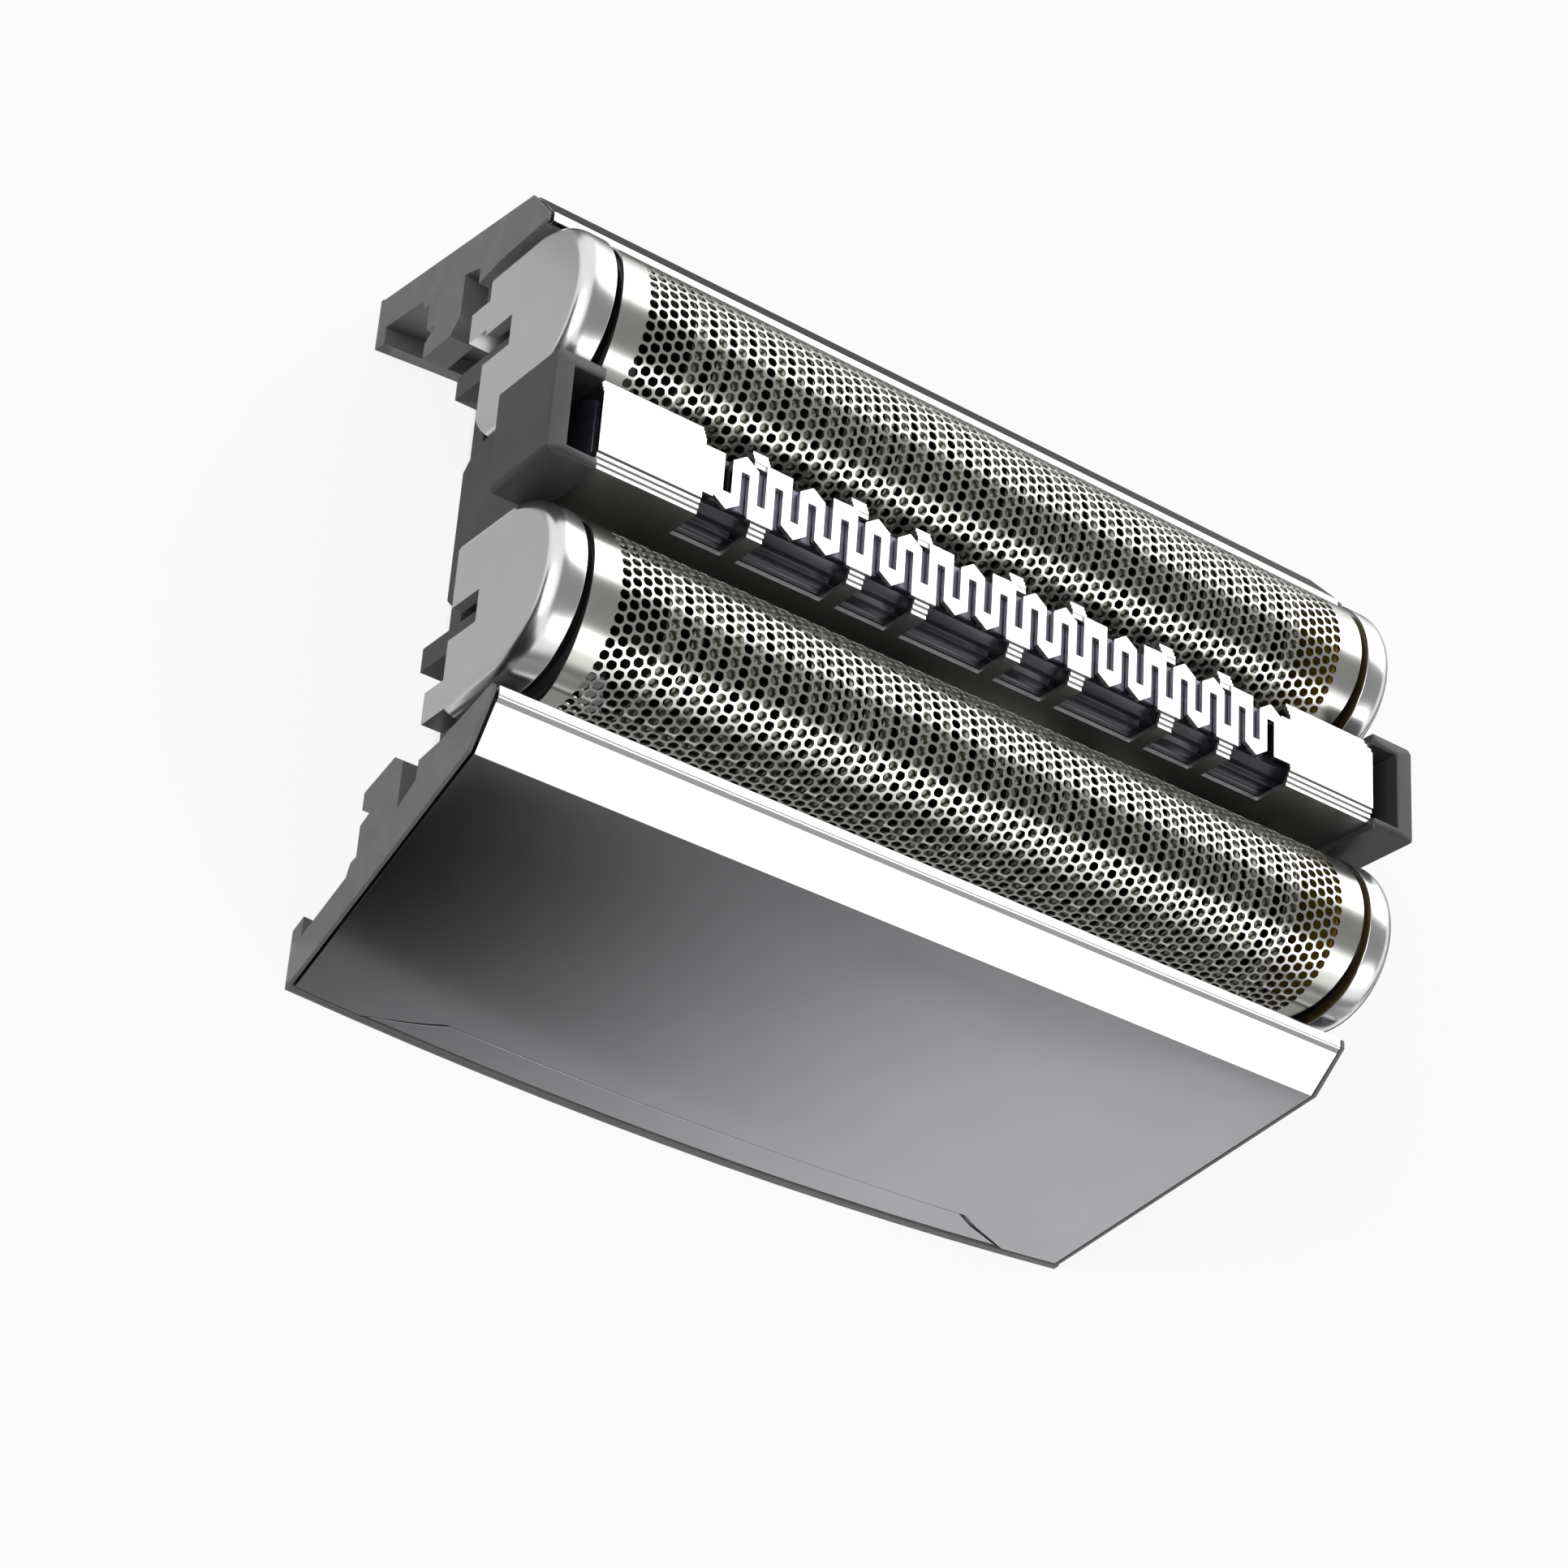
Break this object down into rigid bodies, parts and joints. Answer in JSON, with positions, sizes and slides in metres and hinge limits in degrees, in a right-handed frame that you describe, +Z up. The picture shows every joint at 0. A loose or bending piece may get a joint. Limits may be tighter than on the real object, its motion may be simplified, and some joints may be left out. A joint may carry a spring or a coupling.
{
  "type": "shaver foil head",
  "caption": "Foil head of an electric shaver: two arched perforated foils over sprung cutter blocks, a serpentine trimmer between them, and a clip-on frame with two bowed panels.",
  "frame": {"origin": "centre of the rectangle that the feet of the two panels stand on", "axes": "+X along the foils to the right, +Y to the rear, +Z up towards the skin"},
  "size_m": [0.0456, 0.0358, 0.0204],
  "materials": {
    "carrier_grey": "moulded ABS, fine satin texture",
    "fascia_silver": "silver metallic lacquer on a moulded skin, satin",
    "foil_steel": "electroformed nickel sheet, bright, finely perforated",
    "cap_grey": "light grey plated end cap, satin flat with a polished edge",
    "frame_dark": "dark grey moulded polyoxymethylene",
    "blade_steel": "stamped stainless steel, ground edges",
    "carrier_black": "black moulded plastic",
    "end_block_bronze": "olive moulded plastic, smooth",
    "spring_steel": "drawn spring wire",
    "trimmer_steel": "stamped and ground stainless steel, bright",
    "comb_violet": "violet-black moulded plastic"
  },
  "bodies": {
    "clip_on_frame": {"inner_frame": "frame_dark", "front_panel_carrier": "carrier_grey", "front_fascia": "fascia_silver", "rear_panel_carrier": "carrier_grey", "rear_fascia": "fascia_silver", "front_foil_spring_left": "spring_steel", "front_foil_spring_right": "spring_steel", "rear_foil_spring_left": "spring_steel", "rear_foil_spring_right": "spring_steel", "trimmer_spring_left": "spring_steel", "trimmer_spring_right": "spring_steel"},
    "front_foil_unit": {"front_foil": "foil_steel", "front_foil_frame": "frame_dark", "front_foil_cap_left": "cap_grey", "front_foil_cap_right": "cap_grey", "front_foil_end_block_left": "end_block_bronze", "front_foil_end_block_right": "end_block_bronze"},
    "rear_foil_unit": {"rear_foil": "foil_steel", "rear_foil_frame": "frame_dark", "rear_foil_cap_left": "cap_grey", "rear_foil_cap_right": "cap_grey", "rear_foil_end_block_left": "end_block_bronze", "rear_foil_end_block_right": "end_block_bronze"},
    "front_cutter": {"front_cutter_blades": "blade_steel", "front_cutter_carrier": "carrier_black", "front_cutter_drive_cup": "carrier_black"},
    "rear_cutter": {"rear_cutter_blades": "blade_steel", "rear_cutter_carrier": "carrier_black", "rear_cutter_drive_cup": "carrier_black"},
    "trimmer_unit": {"trimmer_comb": "trimmer_steel", "trimmer_block": "comb_violet", "trimmer_box_left": "frame_dark", "trimmer_box_right": "frame_dark"},
    "moving_blade": {"trimmer_blade": "blade_steel", "trimmer_slider": "carrier_black"}
  },
  "joints": [
    {"name": "front_foil_float", "type": "slide", "parent": "clip_on_frame", "child": "front_foil_unit", "axis": [0, 0, 1], "range_m": [-0.002, 0], "stiffness_N_per_m": 200, "springref_m": 0.002, "deforming": ["front_foil_spring_left", "front_foil_spring_right"]},
    {"name": "rear_foil_float", "type": "slide", "parent": "clip_on_frame", "child": "rear_foil_unit", "axis": [0, 0, 1], "range_m": [-0.002, 0], "stiffness_N_per_m": 200, "springref_m": 0.002, "deforming": ["rear_foil_spring_left", "rear_foil_spring_right"]},
    {"name": "trimmer_float", "type": "slide", "parent": "clip_on_frame", "child": "trimmer_unit", "axis": [0, 0, 1], "range_m": [-0.0015, 0], "stiffness_N_per_m": 160, "springref_m": 0.0015, "deforming": ["trimmer_spring_left", "trimmer_spring_right"]},
    {"name": "front_cutter_stroke", "type": "slide", "parent": "front_foil_unit", "child": "front_cutter", "axis": [1, 0, 0], "range_m": [-0.001, 0.001]},
    {"name": "rear_cutter_stroke", "type": "slide", "parent": "rear_foil_unit", "child": "rear_cutter", "axis": [1, 0, 0], "range_m": [-0.001, 0.001]},
    {"name": "moving_blade_stroke", "type": "slide", "parent": "trimmer_unit", "child": "moving_blade", "axis": [1, 0, 0], "range_m": [-0.0008, 0.0008]}
  ]
}
